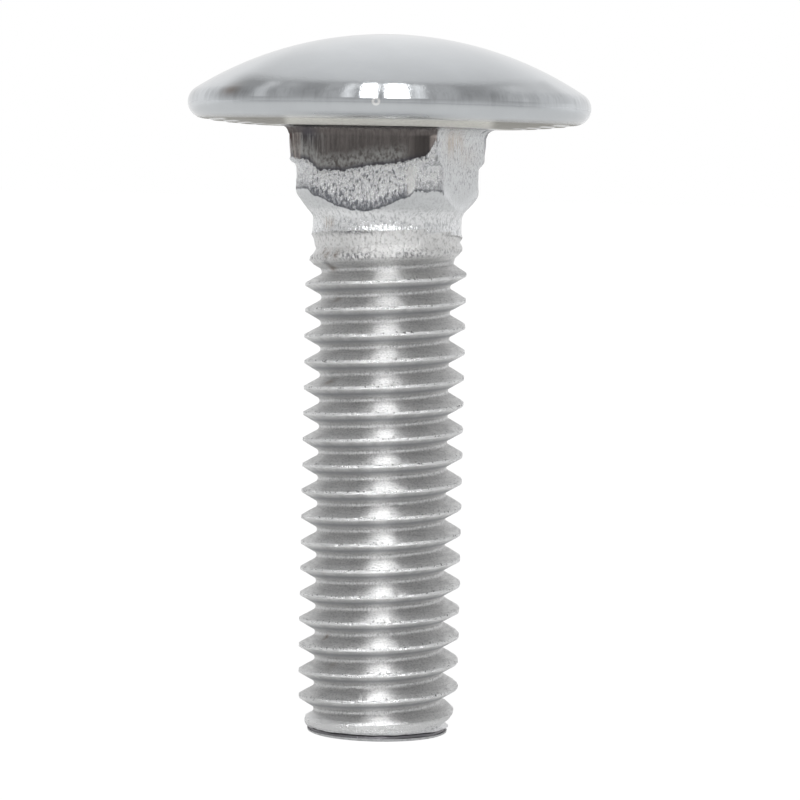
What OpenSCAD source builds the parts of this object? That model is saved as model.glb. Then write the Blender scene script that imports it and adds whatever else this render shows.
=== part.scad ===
// Mushroom-head square-neck bolt, M8 x 30, forged and thread-rolled in one piece.
// The origin is on the axis in the plane of the bearing face, +Z points to the top of the
// head, and the flats of the neck face X and Y. Lengths are in millimetres, angles in degrees.

/* [Head] */
// Diameter of the head
head_d = 19.4; // [18:0.1:22]
// Height of the dome above the bearing face
head_h = 4.45; // [3.6:0.05:6]
// Radius of the round on the rim
rim_r = 0.8; // [0.4:0.05:1.1]
// Diameter of the flat bearing face around the neck
seat_d = 12.9; // [12.2:0.1:13.4]
// How far the underside rises from the bearing face to the rim
seat_rise = 0.24; // [0.04:0.02:0.6]
// Number of shallow steps in which the underside rises
step_count = 4; // [1:1:4]
// Radial distance from one step to the next
step_w = 0.68; // [0.3:0.02:0.7]
// Radial width of the slope on each step
slope_w = 0.18; // [0.06:0.02:0.28]

/* [Neck] */
// Width across the flats of the square
square_w = 7.5; // [7.42:0.02:8.2]
// Diameter across the full corners of the upper square, at the bearing face
corner_d = 10.54; // [9.6:0.02:10.56]
// How far each full corner draws in on the way down
corner_draft = 0.2; // [0:0.02:0.3]
// Diameter across the blunt corners of the lower square
blunt_d = 9.16; // [8.2:0.04:9.4]
// Depth to which the corners are full
corner_depth = 1.6; // [1:0.05:2.2]
// Height of the step from the full corners to the blunt ones
corner_step = 0.36; // [0.1:0.02:0.5]
// Depth at which the blunt corners end
blunt_depth = 3; // [2.8:0.05:4]
// Height of the shoulder from the blunt corners down to the blank
shoulder_h = 1.6; // [0.8:0.05:1.8]
// Radius of the fillet between the neck and the head
fillet_r = 0.45; // [0.2:0.05:0.6]

/* [Shank] */
// Length from the bearing face to the end
bolt_len = 29.3; // [16:0.1:80]
// Diameter of the plain blank above the thread
blank_d = 7.18; // [6.9:0.02:7.4]
// Length of the plain blank
blank_len = 0.75; // [0.3:0.05:3]
// Diameter of the flat end
end_d = 6.6; // [6.5:0.05:6.9]
// Height of the chamfer on the end
chamfer_h = 0.42; // [0.2:0.02:0.6]
// Radial width of that chamfer
chamfer_w = 0.23; // [0.1:0.01:0.26]
// Length over which the crests shrink above the chamfer
tip_taper = 1.6; // [0.8:0.05:3]

/* [Thread] */
// Diameter over the crests
crest_d = 7.8; // [7.7:0.02:8]
// Diameter in the roots
root_d = 6.3; // [6.1:0.02:6.4]
// Distance along the axis from one crest to the next
pitch = 1.25; // [1.1:0.05:1.5]
// Angle between the two flanks
flank_angle = 60; // [50:1:62]
// Width of the flat on the crest
crest_w = 0.15; // [0.08:0.01:0.2]
// Length over which the first crest grows out of the blank
run_in = 1.75; // [1:0.05:2.5]
// Turn of the thread about the axis
thread_turn = 191; // [0:1:360]

/* [Smoothness] */
// Sides in one turn of the thread
turn_sides = 36; // [24:4:48]
// Steps in each round outline
arc_steps = 16; // [8:1:30]

/* [Hidden] */
$fn = 96;

head_r = head_d / 2;
seat_r = seat_d / 2;
corner_r = corner_d / 2;
blunt_r = blunt_d / 2;
blank_r = blank_d / 2;
end_r = end_d / 2;
crest_r = crest_d / 2;
root_r = root_d / 2;
overlap = 0.5; // how far joined forms run into each other
clear = 0.03; // keeps joined round surfaces from just touching

// The rim is a round about rim_c. The dome is the sphere through the apex that meets it smoothly.
rim_c = [head_r - rim_r, seat_rise + rim_r];
dome_rise = head_h - rim_c[1];
dome_r = (rim_c[0] ^ 2 + dome_rise ^ 2 - rim_r ^ 2) / (2 * (dome_rise - rim_r));
dome_half = asin(rim_c[0] / (dome_r - rim_r));

// Heights of the shank's parts, all below the bearing face
thread_top = -blunt_depth - shoulder_h - blank_len;
thread_end = -bolt_len;
core_r = root_r - 0.1;

// The thread's helix runs past both its ends, and is trimmed there by the blank and the tip
flank_h = (crest_r - root_r) * tan(flank_angle / 2);
helix_low = thread_end - 1.1 * pitch - pitch * thread_turn / 360;
helix_turns = ceil((thread_top + 0.2 - helix_low) / pitch);
helix_steps = helix_turns * turn_sides;

// Points of an arc about c with radius r, from angle a0 to angle a1
function arc(c, r, a0, a1) =
    [for (i = [0:arc_steps]) let (a = a0 + (a1 - a0) * i / arc_steps) c + r * [cos(a), sin(a)]];

// Height of the underside's land outside step i, where the bearing face is land 0
function land(i) = seat_rise * (i / step_count) ^ 1.5;

// The two points of the slope between land i and land i + 1, the outer one first
function slope(i) =
    let (r = seat_r + slope_w / 2 + step_w * i)
    [[r + slope_w / 2, land(i + 1)], [r - slope_w / 2, land(i)]];

// Radius of the full corners at depth d
function full_corner_r(d) = corner_r - corner_draft * d / corner_depth;

// Radius of the shoulder, a share t of the way down it
function shoulder_r(t) = blunt_r + (blank_r - blunt_r) * (3 - 2 * t) * t ^ 2;

// Largest radius of the thread at height z, which lets it grow out of the blank
function grown_r(z) =
    let (t = (thread_top - z) / run_in)
    t < 0 ? blank_r - 0.1 : blank_r + clear + (crest_r - blank_r) * t ^ 3;

// Corner k of the thread's profile after i steps up the helix: root, crest, crest, root
function thread_point(i, k) =
    let (
        profile = [[root_r, 0], [crest_r, flank_h], [crest_r, flank_h + crest_w], [root_r, 2 * flank_h + crest_w]],
        z = helix_low + pitch * i / turn_sides + profile[k][1],
        r = min(profile[k][0], grown_r(z)),
        a = 360 * i / turn_sides
    )
    [r * cos(a), r * sin(a), z];

// Place of that corner in the list of points. The lowest root line goes on for one more turn.
function at(i, k) = i <= helix_steps ? 4 * i + k : 3 * helix_steps + i + 3;

// Two triangles that fill the four-sided patch a, b, c, d
function patch(a, b, c, d) = [[a, b, c], [a, c, d]];

// Triangles from each side of a closed loop of points to one tip
function fan(loop, tip) = [for (i = [0:len(loop) - 1]) [loop[i], loop[(i + 1) % len(loop)], tip]];

module head() {
    lands = [for (i = [step_count - 1:-1:0]) each slope(i)];
    outline = concat(
        arc([0, head_h - dome_r], dome_r, 90, 90 - dome_half),
        arc(rim_c, rim_r, 90 - dome_half - 4, -90),
        lands,
        [[0, 0]]
    );
    rotate_extrude() polygon(outline);
}

module root_fillet() {
    half = square_w / 2;
    foot_r = full_corner_r(fillet_r) - clear;
    difference() {
        intersection() {
            translate([-half - fillet_r, -half - fillet_r, -fillet_r])
                cube([square_w + 2 * fillet_r, square_w + 2 * fillet_r, fillet_r + overlap]);
            translate([0, 0, -fillet_r])
                cylinder(r1 = foot_r, r2 = foot_r + fillet_r + overlap, h = fillet_r + overlap);
        }
        for (side = [0:90:270])
            rotate([0, 0, side])
                translate([half + fillet_r, 0, -fillet_r])
                    rotate([90, 0, 0])
                        cylinder(r = fillet_r - clear, h = 2 * head_r, center = true);
    }
}

// The forged blank: the square neck with its two kinds of corner, the shoulder, and the
// round shank, which shrinks to a core inside the thread and fills its last groove at the tip
module blank() {
    outline = concat(
        [
            [0, overlap],
            [corner_r, overlap],
            [corner_r, 0],
            [full_corner_r(corner_depth), -corner_depth],
            [blunt_r, -corner_depth - corner_step]
        ],
        [for (i = [0:8]) [shoulder_r(i / 8), -blunt_depth - shoulder_h * i / 8]],
        [
            [blank_r, thread_top],
            [core_r, thread_top - pitch],
            [core_r, thread_end + chamfer_h + 0.6],
            [end_r + chamfer_w - clear, thread_end + chamfer_h],
            [end_r + chamfer_w - clear, thread_end - overlap],
            [0, thread_end - overlap]
        ]
    );
    intersection() {
        rotate_extrude() polygon(outline);
        translate([-square_w / 2, -square_w / 2, thread_end - pitch])
            cube([square_w, square_w, bolt_len + 2 * pitch]);
    }
}

module thread() {
    last = helix_steps;
    corners = [for (i = [0:last]) for (k = [0:3]) thread_point(i, k)];
    top_line = [for (i = [last + 1:last + turn_sides]) thread_point(i, 0)];
    tips = [[0, 0, thread_point(0, 0)[2] + pitch / 2], [0, 0, thread_point(last, 0)[2] + pitch / 2]];
    count = len(corners) + len(top_line);
    flanks = [
        for (i = [0:last - 1])
            for (k = [0:2])
                each patch(at(i, k), at(i, k + 1), at(i + 1, k + 1), at(i + 1, k))
    ];
    roots = [
        for (i = [0:last - 1])
            each patch(at(i, 3), at(i + turn_sides, 0), at(i + 1 + turn_sides, 0), at(i + 1, 3))
    ];
    low_loop = concat([for (i = [0:turn_sides]) at(i, 0)], [at(0, 3), at(0, 2), at(0, 1)]);
    high_loop = concat(
        [for (k = [0:3]) at(last, k)],
        [for (i = [last + turn_sides:-1:last + 1]) at(i, 0)]
    );
    polyhedron(
        points = concat(corners, top_line, tips),
        faces = concat(flanks, roots, fan(low_loop, count), fan(high_loop, count + 1))
    );
}

// Everything outside the tip: below the end, around its chamfer and around the shrinking crests
module around_tip() {
    beyond = crest_r + 1;
    outline = [
        [0, thread_end - 3 * pitch],
        [0, thread_end],
        [end_r, thread_end],
        [end_r + chamfer_w, thread_end + chamfer_h],
        [crest_r + clear, thread_end + chamfer_h + tip_taper],
        [beyond, thread_end + chamfer_h + tip_taper],
        [beyond, thread_end - 3 * pitch]
    ];
    rotate_extrude() polygon(outline);
}

module carriage_bolt() {
    color("lightgray") {
        difference() {
            union() {
                head();
                root_fillet();
                blank();
                thread();
            }
            around_tip();
        }
    }
}

carriage_bolt();
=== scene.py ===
import math
import bpy
import numpy as np
from mathutils import Matrix, Vector


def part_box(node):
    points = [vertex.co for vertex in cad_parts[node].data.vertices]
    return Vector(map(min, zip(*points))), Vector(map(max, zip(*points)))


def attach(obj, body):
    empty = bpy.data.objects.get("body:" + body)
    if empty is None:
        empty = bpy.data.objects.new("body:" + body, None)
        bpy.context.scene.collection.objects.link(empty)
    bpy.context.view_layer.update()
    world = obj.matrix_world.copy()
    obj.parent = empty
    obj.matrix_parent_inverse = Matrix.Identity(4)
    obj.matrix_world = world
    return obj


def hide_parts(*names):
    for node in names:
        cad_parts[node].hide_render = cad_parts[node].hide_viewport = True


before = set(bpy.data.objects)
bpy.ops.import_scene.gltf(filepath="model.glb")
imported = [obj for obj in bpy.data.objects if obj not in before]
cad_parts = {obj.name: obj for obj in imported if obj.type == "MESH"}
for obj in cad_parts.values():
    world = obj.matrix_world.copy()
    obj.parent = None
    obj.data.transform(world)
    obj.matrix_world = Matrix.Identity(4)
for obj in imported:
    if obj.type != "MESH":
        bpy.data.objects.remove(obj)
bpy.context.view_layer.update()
boltLow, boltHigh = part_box("carriage_bolt")
mm = 0.001  # every size below is in millimetres, unless a note says metres

# The view, as found from the outline of the head and the thread
cameraSettings = {
    "azimuth": 20.1,  # degrees that the camera stands round to the right of the front flat
    "distance": 167.67,
    "height": -2.119,  # above the bearing face
    "pitchDown": 3.764,
    "roll": -1.186,
    "turnLeft": -0.271,
    "lens": 156.23,
    "sensor": 36,
    "sees": (0.005, 10),  # how near and how far, in metres
}


def addCamera(settings):
    azimuth = math.radians(settings["azimuth"])
    eye = Vector((math.sin(azimuth), -math.cos(azimuth), 0)) * settings["distance"]
    eye.z = settings["height"]
    heading = Matrix.Rotation(azimuth + math.radians(settings["turnLeft"]), 3, "Z")
    pitch = Matrix.Rotation(-math.radians(settings["pitchDown"]), 3, "X")
    roll = Matrix.Rotation(math.radians(settings["roll"]), 3, "Y")
    upright = Matrix.Rotation(math.pi / 2, 3, "X")  # a camera looks down its own -Z
    data = bpy.data.cameras.new("camera")
    data.lens = settings["lens"]
    data.sensor_width = settings["sensor"]
    data.clip_start, data.clip_end = settings["sees"]
    camera = bpy.data.objects.new("camera", data)
    camera.matrix_world = Matrix.Translation(eye * mm) @ (heading @ pitch @ roll @ upright).to_4x4()
    bpy.context.scene.collection.objects.link(camera)
    bpy.context.scene.camera = camera


addCamera(cameraSettings)
print("camera set")


# Sizes of the bolt, where the overall ones come from the frame
bolt = {
    "headRadius": boltHigh.x / mm,
    "headHeight": boltHigh.z / mm,
    "endDepth": boltLow.z / mm,
    "rimRound": 0.8,
    "seatRadius": 6.45,
    "seatRise": 0.24,
    "steps": 4,
    "stepWidth": 0.68,
    "slopeWidth": 0.18,
    "halfSquare": 3.75,
    "cornerRadius": 5.27,
    "cornerDraft": 0.2,  # how far each full corner draws in on the way down
    "bluntRadius": 4.58,
    "cornerDepth": 1.6,
    "cornerStep": 0.36,
    "bluntDepth": 3.02,
    "shoulderHeight": 1.6,
    "filletRadius": 0.45,
    "blankRadius": 3.59,
    "threadTop": -4.72,  # where the first trace of the thread shows
    "threadStart": -5.35,  # where its crest begins to grow
    "crestRadius": 3.9,
    "burrRoom": 0.02,  # how far the crests stay inside that radius, to leave room for burrs
    "rootRound": 0.18,
    "lipDepth": -4.92,  # the edge where the rolls have pushed the blank's skin up, at the front
    "lipDrop": 0.3,  # how much lower that edge is at the sides
    "lipTurn": 0.79,  # the turn at which it is highest
    "lipWaver": 0.03,
    "pitch": 1.25,
    "flankSlope": math.tan(math.radians(30)),
    "crestHalf": 0.075,
    "crestAboveEnd": 0.971,  # height of a crest above the end, at the +X side
    "runIn": 1.75,
    "chamferRadius": 3.53,
    "chamferHeight": 0.42,
    "endRadius": 3.3,
    "tipTaper": 1.6,
    "taperRadius": 3.93,  # where the crests begin to shrink, that far above the chamfer
    "sharpAngle": 32,  # degrees between two faces from which their edge is sharp
}

columns = 240  # the corners of the square fall on columns
turns = np.arange(columns) / columns  # each column's share of a turn from +X

# Height of each thread row above or below the middle of its crest
threadSteps = np.array(
    [-0.625, -0.575, -0.525, -0.475, -0.3, -0.085, -0.04, 0, 0.04, 0.085, 0.3, 0.475, 0.525, 0.575]
)

# The four flats of the neck: where each faces, how dark its forging residue is, a darkness that is
# partly painted reflection of what the flat faces, how grainy the die has left it, and the line where
# the grain begins, as pairs of distance across and height
flats = {
    "front": {
        "turn": 0.75,
        "residueShade": 1.0,
        "grain": 1.0,
        "line": [
            (-3.75, -1.5),
            (-2.7, -1.66),
            (-2.15, -2.12),
            (-1.1, -2.15),
            (2.45, -1.6),
            (3.2, -1.4),
            (3.45, -1.15),
            (3.75, -0.6),
        ],
    },
    "right": {
        "turn": 0.0,
        "residueShade": 0.0,
        "grain": 0.0,
        "line": [(-3.75, -0.9), (-2.0, -2.0), (0, -1.2), (3.75, -0.7)],
    },
    "back": {
        "turn": 0.25,
        "residueShade": 0.5,
        "grain": 0.8,
        "line": [(-3.75, -0.6), (-2.6, -1.7), (2, -2.0), (3.75, -1.4)],
    },
    "left": {
        "turn": 0.5,
        "residueShade": 0.85,
        "grain": 0.9,
        "line": [(-3.75, -1.4), (-1.5, -2.1), (2.2, -1.8), (3.75, -1.5)],
    },
}

# Brown marks and dark specks, where the neck's pits are painted shade in the fillet under the head
# and along the neck's sides: turn, height, half their width as a turn, half their height, strength
stains = {
    "head": [(0.6655, 1.5, 0.01, 0.22, 0.8)],
    "neck": [
        (0.665, -4.62, 0.014, 0.3, 0.8),
        (0.93, -0.7, 0.03, 0.7, 0.7),
        (0.975, -0.6, 0.03, 0.6, 0.6),
        (0.03, -1.4, 0.05, 0.6, 0.3),
    ],
    "thread": [
        (0.662, -6.15, 0.008, 0.16, 1.0),
        (0.69, -6.1, 0.007, 0.16, 0.9),
        (0.645, -5.95, 0.006, 0.12, 0.9),
        (0.655, -6.8, 0.012, 0.12, 1.0),
        (0.68, -8.25, 0.01, 0.08, 0.8),
        (0.675, -12.2, 0.012, 0.1, 0.7),
        (0.66, -24.5, 0.006, 0.12, 1.0),
        (0.69, -25.8, 0.012, 0.1, 0.6),
        (0.3, -9.5, 0.02, 0.1, 0.6),
        (0.15, -17.0, 0.015, 0.1, 0.6),
    ],
}
pits = {
    "neck": [
        (0.0984, -0.1, 0.003, 0.06, 2.5),
        (0.1215, -0.5, 0.006, 0.8, 0.8),
        (0.652, -0.3, 0.012, 0.5, 0.6),
    ],
    "firstCrest": [(0.655, -6.62, 0.01, 0.13, 1.0)],
    "tip": [(0.945, -28.83, 0.025, 0.12, 2)],
}


def smooth(t):
    t = np.clip(t, 0, 1)
    return t * t * (3 - 2 * t)


def fade(value, start, width):
    # 0 up to the start and 1 from a width past it; with a negative width it runs the other way
    return smooth((value - start) / width)


def bell(value, middle, width):
    return np.exp(-(((value - middle) / width) ** 2))


def softMin(a, b, width):
    return -width * np.logaddexp(-a / width, -b / width)


def turnFrom(turn, middle):
    # how far a turn is from the middle one, the shorter way round
    return (turn - middle + 0.5) % 1 - 0.5


def ringNoise(turn, height, around, cell, seed):
    # smooth noise from -1 to 1 that closes round the bolt
    lowest, span = -45, 60  # the heights that its lattice covers
    rows = int(span / cell) + 3
    lattice = np.random.default_rng(seed).uniform(-1, 1, (rows, around))
    across = np.asarray(turn) * around
    up = (np.asarray(height) - lowest) / cell
    i, j = np.floor(up).astype(int), np.floor(across).astype(int)
    a, b = smooth(up - i), smooth(across - j)
    left, right = j % around, (j + 1) % around
    low = lattice[i, left] * (1 - b) + lattice[i, right] * b
    high = lattice[i + 1, left] * (1 - b) + lattice[i + 1, right] * b
    return low * (1 - a) + high * a


def spots(turn, height, places):
    total = 0.0
    for middle, level, halfTurn, halfHeight, strength in places:
        away = turnFrom(turn, middle)
        total = total + strength * np.exp(-((away / halfTurn) ** 2) - ((height - level) / halfHeight) ** 2)
    return np.clip(total, -1, 1)


def flatOf(turn):
    # for each point, a way to look up its flat's settings, its angle from the flat's middle, its
    # distance across the flat, and the height of the line where the grain begins
    names = list(flats)
    best = np.zeros(np.shape(turn), int)
    offset = np.full(np.shape(turn), 9.0)
    for k, name in enumerate(names):
        away = turnFrom(turn, flats[name]["turn"])
        nearer = np.abs(away) < np.abs(offset)
        best[nearer] = k
        offset[nearer] = away[nearer]
    across = bolt["halfSquare"] * np.tan(offset * 2 * math.pi)
    lines = np.array([np.interp(across, *zip(*flats[name]["line"])) for name in names])
    line = np.take_along_axis(lines, best[None, ...], 0)[0]

    def pick(key):
        return np.array([flats[name][key] for name in names])[best]

    return pick, offset * 2 * math.pi, across, line


def shoulderRadius(z):
    t = (-bolt["bluntDepth"] - z) / bolt["shoulderHeight"]
    return bolt["bluntRadius"] + (bolt["blankRadius"] - bolt["bluntRadius"]) * smooth(t)


def neckEnvelope(z):
    # radius that trims the square: full corners, blunt corners, shoulder, blank
    b = bolt
    full = b["cornerRadius"] - b["cornerDraft"] * np.clip(-z / b["cornerDepth"], 0, 1)
    drop = fade(z, -b["cornerDepth"], -b["cornerStep"])
    return np.where(drop < 1, full + (b["bluntRadius"] - full) * drop, shoulderRadius(z))


def aboveLip(turn, z):
    # height above the ragged edge where the rolls have pushed the blank's skin up
    level = z + bolt["lipDrop"] * (1 - np.cos((turn - bolt["lipTurn"]) * 2 * math.pi))
    return level - bolt["lipDepth"] - bolt["lipWaver"] * ringNoise(turn, 0 * turn, 100, 0.6, 28)


# What the dies leave on the neck
neckDetail = {
    "lineWaver": 0.04,  # how far the upper edge of the grainy part wavers, and the lower one
    "edgeWaver": 0.03,
    "early": 0.2,  # how much higher up the shoulder cuts into a flat than into a corner
    "proud": 0.03,  # how far the grainy part stands out
    "lumps": (0.03, 0.02),  # height of its coarse and its fine lumps
    "ragged": 0.05,  # how far the step below a full corner wavers
    "softness": (0.02, 0.035),  # of the corners, and what the lower ones have more
    "crease": 0.06,  # a small fold on the shoulder, and its turn
    "creaseTurn": 0.8875,
    "cornerFrom": 0.6,  # shares of the way from the middle of a flat to its corner
    "facetFrom": 0.74,
    "flare": (0.06, 0.012),  # how far the skin stands out at the lip, and how much that varies
}


def neckShape(turn, z):
    b, d = bolt, neckDetail
    pick, offset, across, line = flatOf(turn)
    corner = np.abs(offset) / (math.pi / 4)  # 0 in the middle of a flat, 1 at a corner
    nearCorner = fade(corner, d["cornerFrom"], 0.2)
    line = line + d["lineWaver"] * ringNoise(turn, 0 * turn, 60, 0.5, 11)
    early = d["early"] * (1 - nearCorner)
    depths = np.linspace(-b["bluntDepth"] - b["shoulderHeight"], -b["bluntDepth"], 40)
    edge = np.interp(b["halfSquare"] / np.cos(offset), shoulderRadius(depths), depths)
    edge = edge + early + d["edgeWaver"] * ringNoise(turn, 0 * turn, 90, 0.5, 15)
    below, above = line - z, z - edge
    pressed = fade(below, -0.02, 0.08) * fade(above, -0.02, 0.08) * (pick("grain") > 0.5)
    flat = b["halfSquare"] + d["proud"] * pressed
    ragged = d["ragged"] * ringNoise(turn, z, 60, 0.5, 16) * nearCorner
    sharp, softer = d["softness"]
    width = sharp + softer * fade(z, -b["cornerDepth"] - 0.2, -0.2) * fade(above, 0, 0.3)
    radius = softMin(flat / np.cos(offset), neckEnvelope(z - early + ragged), width)
    coarse, fine = d["lumps"]
    lumps = coarse * ringNoise(turn, z, 120, 0.28, 13) + fine * ringNoise(turn, z, 240, 0.12, 14)
    radius = radius + lumps * pressed * pick("grain")
    crease = bell(turn - d["creaseTurn"] - 0.01 * (z + 4), 0, 0.006) * fade(z, -3.4, -0.3)
    radius = radius + d["crease"] * crease * fade(z, -4.8, 0.3)
    facet = fade(corner, d["facetFrom"], 0.03) * fade(z, -b["cornerDepth"] - 0.15, -0.15)
    facet = facet * fade(above, 0, 0.05)
    flare = fade(aboveLip(turn, z), 0.3, -0.4)
    out, vary = d["flare"]
    radius = radius + out * flare + vary * flare * ringNoise(turn, z, 70, 0.3, 17)
    leftHalf = np.abs(turn - 0.6875) < 0.0625  # the two halves of the front flat
    rightHalf = np.abs(turn - 0.8125) < 0.0625
    glint = bell(corner, 0.76, 0.05) * (turn > 0.8) * (turn < 0.875)
    given = {
        "residueShade": pick("residueShade"),
        "grain": pick("grain") * (1 - facet) + 0.5 * facet,
        "facet": facet,  # the pressed lower corners
        "seam": facet * bell(corner, 0.8, 0.04) * (np.abs(turn - 0.9) < 0.03),  # a line down one
        "glint": glint * fade(above, 0, 0.2) * fade(z, -1.75, -0.2),  # and a painted highlight on its left edge
        "footSheen": fade(z, -3.75, -0.4),  # the foot of the shoulder, painted lighter as a sheen
        "below": np.clip(below, -1, 1),  # distance below the grain's upper edge
        "above": np.clip(above, -1, 1),  # and above its lower one
        "edge": fade(across, -3.42, -0.08) * fade(z, -b["cornerDepth"], 0.2),  # browned
        "pale": fade(np.abs(across - 0.18), 3.22, 0.08) * fade(across, -3.46, 0.06),
        "deep": fade(across, 2.2, 0.9) * fade(across, 3.42, -0.06) * rightHalf,  # darker towards the front flat's right corner
        "streak": fade(across, -1.6, -1.2) * leftHalf,  # scraped residue
        "frost": fade(across, 2.6, -0.8),  # residue worn thin
        "stain": spots(turn, z, stains["neck"]),
        # painted shade in the fillet under the head and along the neck's sides
        "pit": spots(turn, z, pits["neck"]),
    }
    return radius, given


def crestDistance(turn, z):
    middle = bolt["endDepth"] + bolt["crestAboveEnd"]
    u = (z - middle) / bolt["pitch"] - turn
    return (u - np.round(u)) * bolt["pitch"]


def ridgeRadius(away, crest):
    # the full thread: a flat crest, straight flanks and a round root
    b = bolt
    flank = crest - (np.abs(away) - b["crestHalf"]) / b["flankSlope"]
    bottom = b["crestRadius"] - b["burrRoom"] - (b["pitch"] / 2 - b["crestHalf"]) / b["flankSlope"]
    toRoot = np.minimum(b["pitch"] / 2 - np.abs(away), b["rootRound"])
    hollow = bottom + 2 * b["rootRound"] - np.sqrt(b["rootRound"] ** 2 - toRoot**2)
    inRoot = toRoot < b["rootRound"] * math.cos(math.radians(30))
    return np.where(inRoot, hollow, np.minimum(flank, crest))


# What the rolls leave on the thread
threadDetail = {
    "wander": (0.018, 0.014),  # how far the crests waver, over long and over short stretches
    "rootGrain": 0.014,
    "openSeam": 0.07,  # how deep the rolled crest is open, here and there
    "firstTrace": 0.05,  # how far the first crest stands out from the blank where it begins
    "tears": (0.03, 0.02),  # the small and the large pits of the first crests
    "core": 3.05,  # radius of the core inside the thread
    "coreTip": 3.49,  # and at the chamfer
    "lipFoot": [(-7.0, 3.05), (-6.0, 3.28), (-5.5, 3.45), (-5.15, 3.52), (-5.02, 3.56)],
    "coreGrain": 0.02,
    "skinFrom": -0.04,  # height above the lip from which the neck's shape holds
    "skinSteelFrom": -0.02,  # and from which its steel does
}


def threadShape(turn, z):
    b, d = bolt, threadDetail
    top, end, edge = b["threadStart"], b["endDepth"], b["endDepth"] + b["chamferHeight"]
    away = crestDistance(turn, z)
    away = away + 0.01 * ringNoise(turn, z, 90, 0.6, 21) * (np.abs(away) < 0.2)
    long, short = d["wander"]
    wander = long * ringNoise(turn, z, 36, 0.7, 22) + short * ringNoise(turn, z, 200, 0.15, 23)
    crest = b["crestRadius"] - b["burrRoom"] + wander
    inRoot = 1 - fade(np.abs(away), b["pitch"] / 2, -0.1)
    ridge = ridgeRadius(away, crest) + d["rootGrain"] * inRoot * ringNoise(turn, z, 160, 0.12, 27)
    onCrest = 1 - fade(np.abs(away), 0.05, 0.06)
    seam = fade(ringNoise(turn, z, 120, 0.5, 24), 0.1, 0.4)
    ridge = ridge - d["openSeam"] * seam * bell(away, 0.02, 0.035)
    t = (top - z) / b["runIn"]
    grown = b["blankRadius"] + d["firstTrace"]
    grown = grown + (b["crestRadius"] - b["blankRadius"]) * np.clip(t, 0, 2) ** 3
    torn = smooth((z - top + b["runIn"] + 0.3) / 0.5)  # the first crests are torn and pitted
    small, large = d["tears"]
    tears = small * ringNoise(turn, z, 190, 0.12, 25) + large * ringNoise(turn, z, 80, 0.3, 26)
    grown = grown + torn * tears
    over = aboveLip(turn, z)
    outline = [(edge, d["coreTip"]), (end + 1.02, d["core"])] + d["lipFoot"]
    core = np.interp(over + b["lipDepth"], *zip(*outline))
    core = core + d["coreGrain"] * torn * ringNoise(turn, z, 200, 0.12, 29)
    tip = np.interp(z, [edge, edge + b["tipTaper"]], [b["chamferRadius"], b["taperRadius"]])
    tip = np.where(z > edge + b["tipTaper"], 9, tip)
    radius = np.minimum(np.maximum(core, np.minimum(ridge, grown)), tip)
    gap, growing = ridge - grown, (away > 0) & (t > 0) & (t < 1.2)
    flatTop = fade(gap, 0, 0.05) * (t < 1.3)
    # painted shade: dark lines in the crease where the first crest grows from the blank, and a painted
    # shadow under the lip
    seamLine = bell(gap, 0, 0.04) * growing
    second = bell(gap - 0.03 - 0.02 * ringNoise(turn, z, 90, 0.4, 30), 0, 0.03) * growing
    underLip = bell(over, -0.05, 0.05) * (0.25 + 0.75 * bell(turn, 0.735, 0.065))
    firstTop = flatTop * fade(t, 0.2, 0.2)
    mottled = bell(turn, 0.742, 0.035) + bell(turn, 0.862, 0.03)
    burr = bell(away, 0.055, 0.05) * fade(radius, 3.6, 0.2)
    pitted = np.maximum(burr, firstTop * np.clip(mottled, 0.1, 0.7))
    lines = np.maximum(0.6 * seamLine + 0.5 * second, underLip)
    given = {
        "crest": np.maximum(onCrest * fade(radius, 3.55, 0.2), fade(z, end + 1.0, -0.2)),
        "root": inRoot * (radius < 3.35),
        "torn": np.maximum(flatTop, fade(over, -1.28, 0.25)),
        "first": firstTop * (0.3 + 0.7 * np.clip(mottled, 0, 1)),  # the first crest's dark patches
        "pitted": np.maximum(pitted, spots(turn, z, pits["tip"])),
        # painted shade in the creases beside the first crest and under the lip, with one pit
        "line": np.maximum(lines, spots(turn, z, pits["firstCrest"])),
        "shaded": fade(away, -0.08, -0.08) * fade(radius, 3.3, 0.12) * (1 - torn),
        "stain": spots(turn, z, stains["thread"]),
    }
    onSkin = over > d["skinFrom"]
    skin, skinMarks = neckShape(turn, z)
    for name, values in skinMarks.items():
        given[name] = np.where(onSkin, values, given.get(name, values))
    return np.where(onSkin, skin, radius), given


points, marks = [], []
markNames = ["crest", "root", "pitted", "torn", "first", "line", "shaded"]
markNames += ["residueShade", "grain", "facet", "seam", "glint", "footSheen", "deep", "below", "above"]
markNames += ["edge", "pale", "streak", "frost", "stain", "pit"]
markNames += ["under", "slope", "asideShade", "low", "rim", "creviceShade"]
faces, faceParts = [], []
parts = {"end": 0, "thread": 1, "neck": 2, "head": 3}


def addPoints(turn, radius, height, given=None):
    angle = np.asarray(turn) * 2 * math.pi
    radius, height = radius + 0 * angle, height + 0 * angle
    start = sum(len(p) for p in points)
    points.append(np.stack([radius * np.cos(angle), radius * np.sin(angle), height], 1))
    given = given or {}
    marks.append(np.stack([given.get(name, 0) + 0 * angle for name in markNames], 1))
    return start + np.arange(len(angle))


def joinRings(lower, upper, part):
    a, b = np.roll(lower, -1), np.roll(upper, -1)
    faces.extend(np.stack([lower, a, b, upper], 1).tolist())
    faceParts.extend([parts[part]] * len(lower))


def joinPole(ring, pole, part, upward):
    after = np.roll(ring, -1)
    first, second = (ring, after) if upward else (after, ring)
    faces.extend(np.stack([np.full(len(ring), pole), first, second], 1).tolist())
    faceParts.extend([parts[part]] * len(ring))


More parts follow.
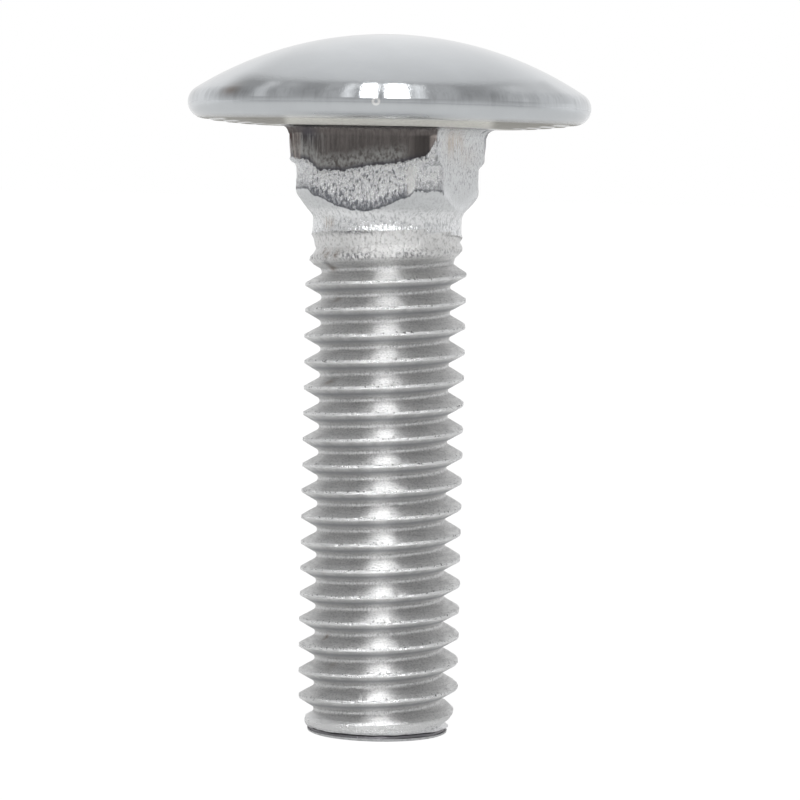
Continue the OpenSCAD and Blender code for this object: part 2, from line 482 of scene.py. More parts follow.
# The sheared end: a flat disc with a rounded edge, and a crevice where the last thread's skirt has
# rolled down over it, darkened with painted shade. Its "edge" is a list of height, distance out and
# share of that painted shade
endDetail = {
    "disc": (0.2, 0.45, 0.7, 0.88, 0.97, 1),  # its rings, as shares of the radius
    "edge": [
        (0.04, 0.08, 0),
        (0.13, 0.1, 0.2),
        (0.17, -0.02, 1),
        (0.26, -0.04, 1),
        (0.34, 0.08, 1),
        (0.37, 0.17, 0),
    ],
    "skirtFrom": 0.15,  # height from which the edge hangs down, and how far
    "skirtDrop": 0.1,
}


def makeEnd():
    end, radius = bolt["endDepth"], bolt["endRadius"]
    pole = addPoints([0], 0, end)[0]
    rings = []
    for share in endDetail["disc"]:
        rings.append(addPoints(turns, radius * share, end))
    joinPole(rings[0], pole, "end", False)
    skirt = 0.5 + 0.3 * ringNoise(turns, 0 * turns, 9, 0.5, 32)
    skirt = skirt + 0.2 * ringNoise(turns, 0 * turns, 60, 0.5, 33)
    for height, out, creviceShade in endDetail["edge"]:
        drop = endDetail["skirtDrop"] * skirt * (height > endDetail["skirtFrom"])
        rings.append(addPoints(turns, radius + out, end + height - drop, {"creviceShade": creviceShade}))
    edge = end + bolt["chamferHeight"]
    r, given = threadShape(turns, np.full(columns, edge))
    rings.append(addPoints(turns, r, edge, given))
    for low, high in zip(rings, rings[1:]):
        joinRings(low, high, "end")
    return rings[-1]


def makeThread(bottomRing):
    b = bolt
    bottom, top = b["endDepth"] + b["chamferHeight"], b["threadTop"]
    r, given = neckShape(turns, np.full(columns, top))
    topRing = addPoints(turns, r, top, given)
    rowCount = len(threadSteps)
    lowest = b["endDepth"] + b["crestAboveEnd"] - 2 * b["pitch"]
    turnCount = math.ceil((top + 1 - lowest) / b["pitch"]) + 2
    rows = np.arange(turnCount * rowCount)
    z = lowest + b["pitch"] * (rows // rowCount)[:, None] + threadSteps[rows % rowCount][:, None]
    z = z + b["pitch"] * turns[None, :]
    turn = np.broadcast_to(turns, z.shape)
    edge = 0.015  # rows this near to the two rings fall together with them
    inside = (z > bottom + edge) & (z < top - edge)
    index = np.where(z <= bottom + edge, bottomRing[None, :], topRing[None, :])
    r, given = threadShape(turn[inside], z[inside])
    index[inside] = addPoints(turn[inside], r, z[inside], given)
    wrapped = np.concatenate([index[:-rowCount], index[rowCount:, :1]], 1)
    corners = [wrapped[:-1, :-1], wrapped[:-1, 1:], wrapped[1:, 1:], wrapped[1:, :-1]]
    quads = np.stack(corners, 2).reshape(-1, 4)
    skin = (aboveLip(turn, z) > threadDetail["skinSteelFrom"])[:-1].reshape(-1)
    for quad, isSkin in zip(quads.tolist(), skin.tolist()):
        face = list(dict.fromkeys(quad))
        if len(face) > 2:
            faces.append(face)
            faceParts.append(parts["neck" if isSkin else "thread"])
    return topRing


def makeNeck(topRing):
    b = bolt
    low, high = b["threadTop"], -b["filletRadius"]
    count = 52
    ring = topRing
    for i in range(1, count + 1):
        z = low + (high - low) * i / count
        r, given = neckShape(turns, np.full(columns, z))
        upper = addPoints(turns, r, z, given)
        joinRings(ring, upper, "neck")
        ring = upper
    pick, offset = flatOf(turns)[:2]
    residueShadeLeft = (1, 1, 0.95, 0.6, 0.25, 0)  # up the fillet under the head
    for i, share in enumerate(residueShadeLeft, 1):
        a = math.pi / 2 * i / len(residueShadeLeft)
        out = b["filletRadius"] * (1 - math.cos(a))
        z = high + b["filletRadius"] * math.sin(a)
        r = np.minimum((b["halfSquare"] + out) / np.cos(offset), b["cornerRadius"] + out)
        given = {"residueShade": pick("residueShade") * share, "below": -1, "above": 1}
        given["stain"] = spots(turns, z, stains["neck"])
        given["pit"] = spots(turns, z, pits["neck"])
        upper = addPoints(turns, r, z, given)
        joinRings(ring, upper, "neck")
        ring = upper
    return ring, r


# What the head shows, where a turn is counted from the side that faces the camera
headDetail = {
    "cameraTurn": 0.8058,  # that side's own turn, from +X
    "darkLandFrom": 4.6,  # distance to the side from which painted shade darkens the underside's lands
    "brightSlopeFrom": 0.172,  # turn from which a painted highlight brightens its slopes
    "darkReflectionTurn": -0.015,  # a stretch low on the rim darkened by a painted reflection, and half its width
    "darkReflectionHalf": 0.06,
    "rimRows": 24,
    "domeRows": 19,
}


def headProfile():
    # the outline of the head from the bearing face round the rim to near the apex, as radius,
    # height and the marks of that ring
    b, rimRows, domeRows = bolt, headDetail["rimRows"], headDetail["domeRows"]
    outline = []
    half = b["slopeWidth"] / 2
    for i in range(b["steps"]):
        r = b["seatRadius"] + b["slopeWidth"] / 2 + b["stepWidth"] * i
        low, high = (b["seatRise"] * (k / b["steps"]) ** 1.5 for k in (i, i + 1))
        ease = 0.1 * (high - low)
        steps = [(-1.4, low, 0), (-1, low, 1), (-0.8, low + ease, 1)]
        steps += [(0.8, high - ease, 1), (1, high, 1), (1.4, high, 0)]
        for out, z, onSlope in steps:
            outline.append((r + out * half, z, {"under": 1, "slope": onSlope}))
    rimR, rimZ = b["headRadius"] - b["rimRound"], b["seatRise"] + b["rimRound"]
    rise = b["headHeight"] - rimZ
    domeRadius = (rimR**2 + rise**2 - b["rimRound"] ** 2) / (2 * (rise - b["rimRound"]))
    domeAngle = math.asin(rimR / (domeRadius - b["rimRound"]))
    for i in range(rimRows + 1):
        a = -math.pi / 2 + (math.pi - domeAngle) * i / rimRows
        r, z = rimR + b["rimRound"] * math.cos(a), rimZ + b["rimRound"] * math.sin(a)
        given = {"under": max(0, 1 - (a + math.pi / 2) / 0.7)}
        given["rim"] = bell(math.degrees(a), 25, 28)
        # where a painted dark reflection lies low on the rim
        given["low"] = bell(math.degrees(a), -50, 12)
        outline.append((r, z, given))
    for i in range(1, domeRows):
        a = domeAngle * (1 - i / domeRows)
        outline.append((domeRadius * math.sin(a), b["headHeight"] - domeRadius * (1 - math.cos(a)), {}))
    return outline


def makeHead(ring, filletEdge):
    d = headDetail
    middle = addPoints(turns, (filletEdge + bolt["seatRadius"]) / 2, 0, {"under": 1})
    joinRings(ring, middle, "head")
    ring = middle
    facing = turnFrom(turns, d["cameraTurn"])
    for r, z, given in headProfile():
        given["stain"] = spots(turns, z, stains["head"])
        # painted shade on the underside's lands towards the sides, as seen from the camera
        given["asideShade"] = fade(np.abs(r * np.sin(facing * 2 * math.pi)), d["darkLandFrom"], 0.4)
        # painted highlight on the slopes where they are seen edge on
        given["slope"] = given.get("slope", 0) * (0.1 + fade(np.abs(facing), d["brightSlopeFrom"], 0.015))
        # painted dark reflection low on the rim, only on the side facing the camera
        given["low"] = given.get("low", 0) * np.exp(-(((facing - d["darkReflectionTurn"]) / d["darkReflectionHalf"]) ** 4))
        upper = addPoints(turns, r, z, given)
        joinRings(ring, upper, "head")
        ring = upper
    pole = addPoints([0], 0, bolt["headHeight"])[0]
    joinPole(ring, pole, "head", True)


def addNode(tree, kind, inputs=None, **settings):
    node = tree.nodes.new(kind)
    for name, value in settings.items():
        setattr(node, name, value)
    for name, value in (inputs or {}).items():
        if isinstance(value, bpy.types.NodeSocket):
            tree.links.new(value, node.inputs[name])
        else:
            node.inputs[name].default_value = value
    return node


def mathNode(tree, operation, a, b=0.0):
    return addNode(tree, "ShaderNodeMath", {0: a, 1: b}, operation=operation).outputs[0]


def times(tree, a, b):
    return mathNode(tree, "MULTIPLY", a, b)


def plus(tree, a, b):
    return mathNode(tree, "ADD", a, b)


def minus(tree, a, b):
    return mathNode(tree, "SUBTRACT", a, b)


def larger(tree, a, b):
    return mathNode(tree, "MAXIMUM", a, b)


def vectorNode(tree, operation, a, b=(0, 0, 0)):
    node = addNode(tree, "ShaderNodeVectorMath", {0: a, 1: b}, operation=operation)
    return node.outputs["Vector" if operation == "MULTIPLY" else "Value"]


def rangeNode(tree, value, low, high, toLow=0.0, toHigh=1.0):
    inputs = {"Value": value, "From Min": low, "From Max": high, "To Min": toLow, "To Max": toHigh}
    return addNode(tree, "ShaderNodeMapRange", inputs, interpolation_type="SMOOTHSTEP").outputs["Result"]


def mixColor(tree, amount, a, b):
    node = addNode(tree, "ShaderNodeMix", data_type="RGBA")
    for socket, value in ((node.inputs["Factor"], amount), (node.inputs[6], a), (node.inputs[7], b)):
        if isinstance(value, bpy.types.NodeSocket):
            tree.links.new(value, socket)
        else:
            socket.default_value = value if socket.name == "Factor" else (*value, 1)
    return node.outputs[2]


def bumpNode(tree, height, strength, depth):
    inputs = {"Height": height, "Strength": strength, "Distance": depth}
    return addNode(tree, "ShaderNodeBump", inputs).outputs[0]


def masks(tree, *names):
    return [addNode(tree, "ShaderNodeAttribute", attribute_name=name).outputs["Fac"] for name in names]


def toned(color, share):
    return [c * share for c in color]


white = (1, 1, 1)


def newGroup(name, inputs, output):
    group = bpy.data.node_groups.new(name, "ShaderNodeTree")
    for title, value in inputs.items():
        socket = group.interface.new_socket(title, in_out="INPUT", socket_type="NodeSocketFloat")
        socket.default_value = value
    group.interface.new_socket(output, in_out="OUTPUT", socket_type="NodeSocketFloat")
    return group, group.nodes.new("NodeGroupInput").outputs[:], group.nodes.new("NodeGroupOutput")


def makeDrawnLines():
    # fine lines that a die or roll leaves: long along one direction, thin across it
    group, start, end = newGroup("drawnLines", {"Around": 20.0, "Upright": 2.0, "Shift": 0.0}, "Lines")
    around, upright, shift = start[:3]
    place = addNode(group, "ShaderNodeTexCoord").outputs["Object"]
    scale = addNode(group, "ShaderNodeCombineXYZ", {"X": around, "Y": around, "Z": upright}).outputs[0]
    inMm = vectorNode(group, "MULTIPLY", vectorNode(group, "MULTIPLY", place, scale), [1 / mm] * 3)
    inputs = {"Vector": inMm, "W": shift, "Scale": 1.0, "Detail": 3.0, "Roughness": 0.6}
    noise = addNode(group, "ShaderNodeTexNoise", inputs, noise_dimensions="4D")
    group.links.new(noise.outputs[0], end.inputs[0])
    return group


def makeSpecks():
    # small isolated pits or glints: the noise above a threshold
    group, start, end = newGroup("specks", {"Per mm": 6.0, "Share": 0.3, "Shift": 0.0}, "Mask")
    perMm, share, shift = start[:3]
    place = addNode(group, "ShaderNodeTexCoord").outputs["Object"]
    scale = times(group, perMm, 1 / mm)
    inputs = {"Vector": place, "W": shift, "Scale": scale, "Detail": 2.0, "Roughness": 0.6}
    noise = addNode(group, "ShaderNodeTexNoise", inputs, noise_dimensions="4D").outputs[0]
    edge = minus(group, 0.75, times(group, share, 0.5))
    group.links.new(rangeNode(group, minus(group, noise, edge), 0.0, 0.08), end.inputs[0])
    return group


def placeGroup(tree, group, **values):
    node = tree.nodes.new("ShaderNodeGroup")
    node.node_tree = group
    for name, value in values.items():
        node.inputs[name.replace("_", " ")].default_value = value
    return node.outputs[0]


def newMaterial(name):
    material = bpy.data.materials.new(name)
    material.use_nodes = True
    tree = material.node_tree
    tree.nodes.clear()
    output = tree.nodes.new("ShaderNodeOutputMaterial")
    shader = tree.nodes.new("ShaderNodeBsdfPrincipled")
    shader.inputs["Metallic"].default_value = 1
    tree.links.new(shader.outputs[0], output.inputs["Surface"])
    return material, tree, shader


def feed(tree, shader, inputs):
    for name, value in inputs.items():
        tree.links.new(value, shader.inputs[name])


drawnLines = makeDrawnLines()
specks = makeSpecks()

headLook = {
    "steel": (0.69, 0.715, 0.74),
    "dullAndDarkReflection": 0.55,  # tone of its dull bands and of the painted dark reflection, as a share of the steel's
    "bands": 0.45,  # how strong the bands are on the rim, and the painted dark reflection in the stretch low on it
    "darkReflectionStretch": 0.5,
    "roughness": 0.055,
    "matte": (0.86, 0.85, 0.79),  # the underside, and how metallic and rough it is
    "matteMetal": 0.35,
    "matteRoughness": 0.5,
    "land": (0.36, 0.345, 0.31),  # painted shade on its lands towards the sides
    "stain": (0.36, 0.31, 0.28),
    "fleck": (0.00274, -0.00930, 0.00104),  # a tiny pale ring on the rim, in metres
    "fleckRadius": 0.00014,
    "bump": (0.1, 0.00002),  # strength, and depth in metres
}


def makeHeadSteel(look):
    material, tree, shader = newMaterial("headSteel")
    lines = placeGroup(tree, drawnLines, Around=0.35, Upright=0.5)
    upright = placeGroup(tree, drawnLines, Around=1.6, Upright=0.15, Shift=6.0)
    fine = placeGroup(tree, drawnLines, Around=6.0, Upright=6.0, Shift=3.0)
    under, slope, asideShade, low, rim, stain = masks(tree, "under", "slope", "asideShade", "low", "rim", "stain")
    dullAndDarkReflection = toned(look["steel"], look["dullAndDarkReflection"])
    tone = mixColor(tree, rangeNode(tree, lines, 0.3, 0.7), look["steel"], toned(look["steel"], 0.95))
    banded = times(tree, rangeNode(tree, upright, 0.4, 0.65), rim)
    tone = mixColor(tree, times(tree, banded, look["bands"]), tone, dullAndDarkReflection)
    # painted dark reflection low on the rim
    tone = mixColor(tree, times(tree, low, look["darkReflectionStretch"]), tone, dullAndDarkReflection)
    tone = mixColor(tree, stain, tone, look["stain"])
    place = addNode(tree, "ShaderNodeTexCoord").outputs["Object"]
    away = vectorNode(tree, "DISTANCE", place, look["fleck"])
    ring = mathNode(tree, "ABSOLUTE", minus(tree, away, look["fleckRadius"]))
    tone = mixColor(tree, rangeNode(tree, ring, 0.00008, 0.00003), tone, white)
    # painted shade on the lands at the sides, and a painted highlight on the slopes
    land = mixColor(tree, asideShade, look["matte"], look["land"])
    matte = mixColor(tree, slope, land, white)
    matte = mixColor(tree, rangeNode(tree, fine, 0.35, 0.7, 0.0, 0.25), matte, toned(look["matte"], 0.6))
    tone = mixColor(tree, under, tone, matte)
    rough = rangeNode(tree, fine, 0.3, 0.7, look["roughness"] - 0.015, look["roughness"] + 0.02)
    rougher = larger(tree, under, times(tree, low, 0.8))
    rough = larger(tree, rough, times(tree, rougher, look["matteRoughness"]))
    metal = rangeNode(tree, under, 0.0, 1.0, 1.0, look["matteMetal"])
    bump = bumpNode(tree, fine, *look["bump"])
    feed(tree, shader, {"Base Color": tone, "Metallic": metal, "Roughness": rough, "Normal": bump})
    return material


neckLook = {
    "steel": (0.73, 0.745, 0.76),
    "brushed": 0.55,  # tone of the darker parts of the bare flats, as a share of the steel's
    "facet": (0.93, 0.94, 0.95),  # the pressed corners, and the painted sheen at the foot of the shoulder
    "footSheen": (0.95, 0.96, 0.975),
    # dark forging residue, its depth partly painted reflection of the dark surroundings the flat faces
    "residueShade": (0.15, 0.135, 0.13),
    "frost": (0.36, 0.36, 0.35),  # the residue worn thin, above the grainy part
    "shade": (0.07, 0.07, 0.09),  # painted shadow along the line where the two meet, and the painted shade of the pits
    "grainDark": (0.25, 0.26, 0.29),
    "grainLight": (0.97, 0.98, 1.0),
    "stain": (0.45, 0.38, 0.31),
    "brown": (0.1, 0.07, 0.065),
    "pale": (0.5, 0.44, 0.41),
    "roughness": 0.25,
    "glintRoughness": 0.5,
    "powdery": 0.25,  # how much less metallic the pressed parts are
    "streakBump": 0.4,  # relief of each part, as shares of the bump's depth
    "grainBump": 3.0,
    "footBump": 0.9,
    "facetBump": 2.4,
    "bump": (1.0, 0.00007),  # strength, and depth in metres
}


def makeNeckSteel(look):
    material, tree, shader = newMaterial("neckSteel")
    streaks = placeGroup(tree, drawnLines, Around=9.0, Upright=0.6)
    mottle = placeGroup(tree, drawnLines, Around=7.0, Upright=5.0, Shift=1.0)
    cells = placeGroup(tree, drawnLines, Around=8.5, Upright=4.5, Shift=2.0)
    below, above, residueShade, grain = masks(tree, "below", "above", "residueShade", "grain")
    facet, seam, glint, footSheen = masks(tree, "facet", "seam", "glint", "footSheen")
    edge, streak, frost, deep, pale = masks(tree, "edge", "streak", "frost", "deep", "pale")
    stain, pit = masks(tree, "stain", "pit")

    # the grainy part, with jagged edges
    jag = rangeNode(tree, mottle, 0.3, 0.7, -0.05, 0.05)
    under = rangeNode(tree, plus(tree, below, jag), -0.02, 0.03)
    inside = rangeNode(tree, plus(tree, above, jag), -0.03, 0.03)
    grainy = times(tree, times(tree, under, inside), grain)

    # the residue above it, partly painted reflection: streaked, worn, scraped, darker towards the front
    # flat's right corner, brown and pale, with a painted shadow along the grain's upper edge
    thick, thin = toned(look["residueShade"], 0.75), toned(look["residueShade"], 1.25)
    dark = mixColor(tree, rangeNode(tree, streaks, 0.3, 0.7), thick, thin)
    worn = times(tree, rangeNode(tree, below, -1.1, -0.4), rangeNode(tree, mottle, 0.34, 0.6))
    dark = mixColor(tree, times(tree, worn, frost), dark, look["frost"])
    scraped = times(tree, rangeNode(tree, streaks, 0.42, 0.6), streak)
    dark = mixColor(tree, times(tree, scraped, 0.8), dark, toned(look["frost"], 1.3))
    # painted shadow along the grain's upper edge, where it steps out
    dark = mixColor(tree, rangeNode(tree, below, -0.3, -0.04, 0.0, 0.7), dark, look["shade"])
    dark = mixColor(tree, times(tree, deep, 0.75), dark, toned(look["residueShade"], 0.45))
    dark = mixColor(tree, times(tree, edge, rangeNode(tree, streaks, 0.6, 0.35)), dark, look["brown"])
    paled = times(tree, pale, rangeNode(tree, streaks, 0.35, 0.6, 0.25, 0.95))
    dark = mixColor(tree, paled, dark, look["pale"])
    covered = times(tree, residueShade, minus(tree, 1.0, under))

    # bare steel, brushed and speckled, with a painted sheen at the foot of the shoulder, then the residue,
    # partly painted reflection, and the pressed corners over it
    bright = times(tree, footSheen, rangeNode(tree, cells, 0.25, 0.55))
    tone = mixColor(tree, bright, look["steel"], look["footSheen"])
    brushed = times(tree, rangeNode(tree, cells, 0.55, 0.35), rangeNode(tree, above, 0.2, 1.0, 0.35, 0.75))
    speckled = times(tree, rangeNode(tree, mottle, 0.5, 0.4), rangeNode(tree, above, 0.3, 1.0))
    even = times(tree, rangeNode(tree, above, 0.1, 0.6), 0.35)
    brushed = larger(tree, larger(tree, brushed, speckled), even)
    tone = mixColor(tree, brushed, tone, toned(look["steel"], look["brushed"]))
    tone = mixColor(tree, covered, tone, dark)
    tone = mixColor(tree, times(tree, facet, under), tone, look["facet"])

    # the grain, with painted shade darkening it towards its lower edge, a painted highlight on the facet's
    # left edge, and a painted shadow along the outline of the pressed parts
    lifted = plus(tree, cells, rangeNode(tree, above, 0.1, 0.8, -0.08, 0.05))
    grainTone = mixColor(tree, rangeNode(tree, lifted, 0.37, 0.55), look["grainDark"], look["grainLight"])
    tone = mixColor(tree, grainy, tone, grainTone)
    lower = times(tree, rangeNode(tree, above, 0.6, 0.1), times(tree, grainy, 0.45))
    tone = mixColor(tree, lower, tone, look["grainDark"])
    tone = mixColor(tree, glint, tone, white)
    tone = mixColor(tree, times(tree, seam, 0.25), tone, look["grainDark"])
    # painted shadow along the foot of the grainy part and the facets
    pressed = larger(tree, rangeNode(tree, grain, 0.2, 0.4), facet)
    outline = times(tree, rangeNode(tree, above, 0.15, 0.03), times(tree, inside, pressed))
    outline = times(tree, outline, under)
    tone = mixColor(tree, times(tree, outline, 0.75), tone, toned(look["grainDark"], 0.55))
    browned = times(tree, stain, rangeNode(tree, streaks, 0.35, 0.6))
    tone = mixColor(tree, browned, tone, look["stain"])
    # the pits: painted shade in the fillet under the head and along the neck's sides
    tone = mixColor(tree, pit, tone, look["shade"])

    rough = larger(tree, times(tree, glint, look["glintRoughness"]), look["roughness"])
    metal = minus(tree, 1.0, times(tree, larger(tree, grainy, facet), look["powdery"]))
    rugged = larger(tree, times(tree, grainy, look["grainBump"]), times(tree, footSheen, look["footBump"]))
    rugged = larger(tree, rugged, times(tree, facet, look["facetBump"]))
    rugged = times(tree, minus(tree, cells, 0.5), rugged)
    height = plus(tree, times(tree, streaks, look["streakBump"]), rugged)
    bump = bumpNode(tree, height, *look["bump"])
    feed(tree, shader, {"Base Color": tone, "Metallic": metal, "Roughness": rough, "Normal": bump})
    return material


threadLook = {
    "steel": (0.79, 0.79, 0.785),
    "shaded": (0.43, 0.44, 0.46),  # the flanks that face down
    "worn": (0.4, 0.4, 0.41),  # drawn lines and pores
    "crest": (0.95, 0.955, 0.96),
    "patch": (0.3, 0.3, 0.32),  # dark patches on the first crest, and painted shade in the ragged lines beside it and under the lip
    "line": (0.12, 0.12, 0.14),
    "pit": (0.1, 0.1, 0.105),
    "stain": (0.3, 0.235, 0.19),
    "roughness": 0.5,
    "spread": 1.0,  # of the gloss, up and down
    "tornMetal": 0.85,
    "crestBump": 1.5,  # relief of each part, as shares of the bump's depth
    "flankBump": 0.25,
    "lineBump": 0.4,
    "tornBump": 1.5,
    "bump": (0.6, 0.00008),  # strength, and depth in metres
}


def makeThreadSteel(look):
    material, tree, shader = newMaterial("threadSteel")
    lines = placeGroup(tree, drawnLines, Around=0.8, Upright=11.0)
    cells = placeGroup(tree, drawnLines, Around=11.0, Upright=9.0, Shift=2.0)
    coarse = placeGroup(tree, drawnLines, Around=8.0, Upright=5.0, Shift=5.0)
    pores = placeGroup(tree, specks, Per_mm=8.0, Share=0.36)
    crest, root, torn, line = masks(tree, "crest", "root", "torn", "line")
    shaded, first, stain, pitted = masks(tree, "shaded", "first", "stain", "pitted")

    tone = mixColor(tree, shaded, look["steel"], look["shaded"])
    tone = mixColor(tree, times(tree, rangeNode(tree, lines, 0.35, 0.65), 0.25), tone, look["worn"])
    tone = mixColor(tree, rangeNode(tree, cells, 0.55, 0.35, 0.0, 0.5), tone, look["worn"])
    bright = times(tree, root, rangeNode(tree, cells, 0.35, 0.6, 0.1, 0.8))
    tone = mixColor(tree, larger(tree, crest, bright), tone, look["crest"])
    tornTone = mixColor(tree, rangeNode(tree, coarse, 0.32, 0.54), toned(look["steel"], 0.82), white)
    firstTone = mixColor(tree, rangeNode(tree, coarse, 0.38, 0.6), look["patch"], white)
    tornTone = mixColor(tree, first, tornTone, firstTone)
    tone = mixColor(tree, torn, tone, tornTone)
    # painted shade in the creases beside the first crest and under the lip
    ragged = times(tree, line, rangeNode(tree, cells, 0.65, 0.4, 0.2, 1.0))
    tone = mixColor(tree, ragged, tone, look["line"])
    browned = times(tree, stain, rangeNode(tree, cells, 0.3, 0.6))
    tone = mixColor(tree, browned, tone, look["stain"])
    pocked = times(tree, pores, pitted)
    tone = mixColor(tree, pocked, tone, look["pit"])

    rough = rangeNode(tree, lines, 0.2, 0.8, look["roughness"] - 0.05, look["roughness"] + 0.05)
    rugged = larger(tree, torn, times(tree, larger(tree, crest, root), look["crestBump"]))
    rough = minus(tree, rough, times(tree, rugged, 0.14))
    height = minus(tree, times(tree, lines, look["lineBump"]), pocked)
    rugged = larger(tree, rugged, look["flankBump"])
    height = plus(tree, height, times(tree, minus(tree, cells, 0.5), rugged))
    lumps = times(tree, minus(tree, coarse, 0.5), times(tree, torn, look["tornBump"]))
    height = plus(tree, height, lumps)
    metal = rangeNode(tree, torn, 0.0, 1.0, 1.0, look["tornMetal"])
    bump = bumpNode(tree, height, *look["bump"])
    shader.inputs["Anisotropic"].default_value = look["spread"]
    shader.inputs["Anisotropic Rotation"].default_value = 0.25  # a quarter turn, so upright
    feed(tree, shader, {"Base Color": tone, "Metallic": metal, "Roughness": rough, "Normal": bump})
    return material


endLook = {
    "steel": (0.76, 0.765, 0.78),
    "grain": 0.85,  # tone of its grain, as a share of the steel's
    # painted shade in the crevice under the rolled skirt
    "creviceShade": (0.24, 0.235, 0.25),
    "roughness": 0.3,
    "bump": (0.3, 0.00003),  # strength, and depth in metres
}


def makeEndSteel(look):
    material, tree, shader = newMaterial("endSteel")
    grain = placeGroup(tree, specks, Per_mm=5.0, Share=0.5, Shift=7.0)
    tone = mixColor(tree, grain, look["steel"], toned(look["steel"], look["grain"]))
    # painted shade in the crevice
    tone = mixColor(tree, masks(tree, "creviceShade")[0], tone, look["creviceShade"])
    shader.inputs["Roughness"].default_value = look["roughness"]
    feed(tree, shader, {"Base Color": tone, "Normal": bumpNode(tree, grain, *look["bump"])})
    return material


def makeBolt():
    bottomRing = makeEnd()
    topRing = makeThread(bottomRing)
    ring, filletEdge = makeNeck(topRing)
    makeHead(ring, filletEdge)
    mesh = bpy.data.meshes.new("forgedBolt")
    mesh.from_pydata((np.concatenate(points) * mm).tolist(), [], faces)
    mesh.update()
    values = np.concatenate(marks)
    for k, name in enumerate(markNames):
        attribute = mesh.attributes.new(name, "FLOAT", "POINT")
        attribute.data.foreach_set("value", values[:, k].astype(np.float32))
    for material in (
        makeEndSteel(endLook),
        makeThreadSteel(threadLook),
        makeNeckSteel(neckLook),
        makeHeadSteel(headLook),
    ):
        mesh.materials.append(material)
    mesh.polygons.foreach_set("material_index", faceParts)
    mesh.shade_smooth()
    mesh.set_sharp_from_angle(angle=math.radians(bolt["sharpAngle"]))
    piece = bpy.data.objects.new("forged_bolt", mesh)
    bpy.context.scene.collection.objects.link(piece)
    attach(piece, "root")
    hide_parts("carriage_bolt")
    triangles = sum(len(f) - 2 for f in faces)
    print("bolt made:", len(values), "points,", triangles, "triangles")


makeBolt()

# The studio as the head mirrors it towards the camera. Each direction of light is given by the
# upright and sideways angle of the polished face that would mirror it: "levels" from level faces to
# upward ones, in degrees, and the lamps by their place to the side and half width, as tangents,
# then their brightness and softness. A panel starts at one angle and is full at the next
lightSettings = {
    "levels": [
        (0, 0.6),
        (6, 0.52),
        (13, 0.43),
        (27, 0.37),
        (57.4, 0.38),
        (60.0, 0.68),
        (63, 0.74),
        (71, 0.86),
        (82, 0.95),
        (90, 0.97),
    ],
    "lamps": [
        (0.034, 0.053, 8.0, 0.014),
        (-0.104, 0.035, 8.0, 0.014),
        (-0.207, 0.03, 1.05, 0.03),
        (0.15, 0.04, 1.05, 0.03),
        (0.28, 0.08, 0.5, 0.05),
        (-0.3, 0.045, 0.5, 0.03),
        (-0.62, 0.07, 0.5, 0.08),
        (-0.82, 0.08, 0.66, 0.08),
        (0.9, 0.18, 0.68, 0.25),
        (1.6, 0.4, 0.68, 0.4),
    ],
    "lampFrom": 12,
    "lampTo": 57.9,
    "lampSoft": (0.04, 0.015),  # softness of the lamps' lower and upper ends, in radians
    "leftPanel": (-48, -66, 0.86),
    "rightPanel": (34, 70, 0.88),
}


def makeSurroundings(settings):
    world = bpy.data.worlds.new("studio")
    bpy.context.scene.world = world
    world.use_nodes = True
    tree = world.node_tree
    tree.nodes.clear()
    direction = addNode(tree, "ShaderNodeTexCoord").outputs["Generated"]
    inputs = {"Vector": direction, "Angle": -math.radians(cameraSettings["azimuth"])}
    turned = addNode(tree, "ShaderNodeVectorRotate", inputs, rotation_type="Z_AXIS").outputs[0]
    side, back, up = addNode(tree, "ShaderNodeSeparateXYZ", {0: turned}).outputs
    ahead = minus(tree, 1.001, back)  # a little over 1, so that it is never 0
    upright = mathNode(tree, "DIVIDE", up, mathNode(tree, "SQRT", times(tree, ahead, 2.0)))
    upright = mathNode(tree, "ARCSINE", mathNode(tree, "MINIMUM", upright, 1.0))
    ramp = addNode(tree, "ShaderNodeValToRGB", {"Fac": mathNode(tree, "DIVIDE", upright, math.pi / 2)})
    elements = ramp.color_ramp.elements
    for k, (degrees, level) in enumerate(settings["levels"]):
        element = elements[k] if k < 2 else elements.new(degrees / 90)
        element.position = degrees / 90
        element.color = (level, level, level, 1)
    glow = ramp.outputs[0]
    sideways = mathNode(tree, "ARCTAN2", side, ahead)
    for name in ("leftPanel", "rightPanel"):
        start, full, level = settings[name]
        lit = rangeNode(tree, sideways, math.radians(start), math.radians(full))
        glow = mixColor(tree, lit, glow, [level] * 3)
    lateral = mathNode(tree, "DIVIDE", side, ahead)
    low, high = math.radians(settings["lampFrom"]), math.radians(settings["lampTo"])
    softLow, softHigh = settings["lampSoft"]
    inArc = rangeNode(tree, upright, low - softLow, low + softLow)
    inArc = times(tree, inArc, rangeNode(tree, upright, high + softHigh, high - softHigh))
    for centre, half, level, soft in settings["lamps"]:
        away = mathNode(tree, "ABSOLUTE", minus(tree, lateral, centre))
        lit = times(tree, rangeNode(tree, away, half + soft, half - soft), inArc)
        glow = mixColor(tree, lit, glow, [level] * 3)
    cameraRay = addNode(tree, "ShaderNodeLightPath").outputs["Is Camera Ray"]
    glow = mixColor(tree, cameraRay, glow, white)
    background = addNode(tree, "ShaderNodeBackground", {"Color": glow})
    output = tree.nodes.new("ShaderNodeOutputWorld")
    tree.links.new(background.outputs[0], output.inputs[0])


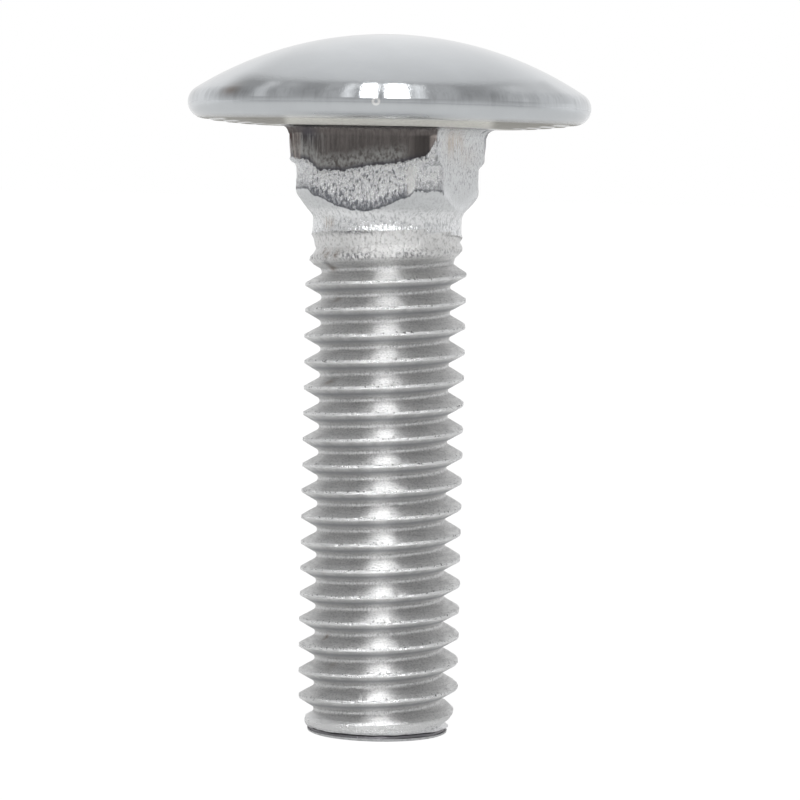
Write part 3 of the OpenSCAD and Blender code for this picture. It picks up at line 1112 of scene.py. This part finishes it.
floorSettings = {
    "half": 3.0,  # half its width, in metres
    "nearTone": (0.5, 0.5, 0.495),
    "farTones": ((0.32, 0.32, 0.32), (0.64, 0.64, 0.64)),  # before the bolt, and behind it
    "farFrom": (0.03, 0.3),  # metres from the bolt between which the near tone gives way
    "behindFrom": (-0.3, 0.6),  # cosines of the angle to the view between which the far tones meet
    "glow": 1.07,  # plain white over those tones
    "glowSeen": 0.93,  # how much of it the camera sees, and how much a mirror shows
    "glowMirrored": 0.2,
}


def makeFloor(settings):
    half = settings["half"]
    mesh = bpy.data.meshes.new("floor")
    corners = [(-half, -half, 0), (half, -half, 0), (half, half, 0), (-half, half, 0)]
    mesh.from_pydata(corners, [], [(0, 1, 2, 3)])
    floor = bpy.data.objects.new("floor", mesh)
    floor.location.z = bolt["endDepth"] * mm
    bpy.context.scene.collection.objects.link(floor)
    material = bpy.data.materials.new("paleFloor")
    material.use_nodes = True
    tree = material.node_tree
    tree.nodes.clear()
    place = addNode(tree, "ShaderNodeTexCoord").outputs["Object"]
    away = vectorNode(tree, "LENGTH", place)
    azimuth = math.radians(cameraSettings["azimuth"])
    behind = vectorNode(tree, "DOT_PRODUCT", place, (-math.sin(azimuth), math.cos(azimuth), 0))
    behind = mathNode(tree, "DIVIDE", behind, plus(tree, away, 0.001))
    far = mixColor(tree, rangeNode(tree, behind, *settings["behindFrom"]), *settings["farTones"])
    pale = mixColor(tree, rangeNode(tree, away, *settings["farFrom"]), settings["nearTone"], far)
    paper = addNode(tree, "ShaderNodeBsdfDiffuse", {"Color": pale})
    path = addNode(tree, "ShaderNodeLightPath").outputs
    glow = addNode(tree, "ShaderNodeEmission", {"Color": (*white, 1), "Strength": settings["glow"]})
    seen = times(tree, path["Is Camera Ray"], settings["glowSeen"])
    mirrored = larger(tree, path["Is Glossy Ray"], path["Is Transmission Ray"])
    share = larger(tree, seen, times(tree, mirrored, settings["glowMirrored"]))
    mixed = addNode(tree, "ShaderNodeMixShader", {0: share, 1: paper.outputs[0], 2: glow.outputs[0]})
    output = tree.nodes.new("ShaderNodeOutputMaterial")
    tree.links.new(mixed.outputs[0], output.inputs["Surface"])
    mesh.materials.append(material)


makeSurroundings(lightSettings)
makeFloor(floorSettings)
bpy.context.scene.view_settings.view_transform = "Standard"
print("studio made")
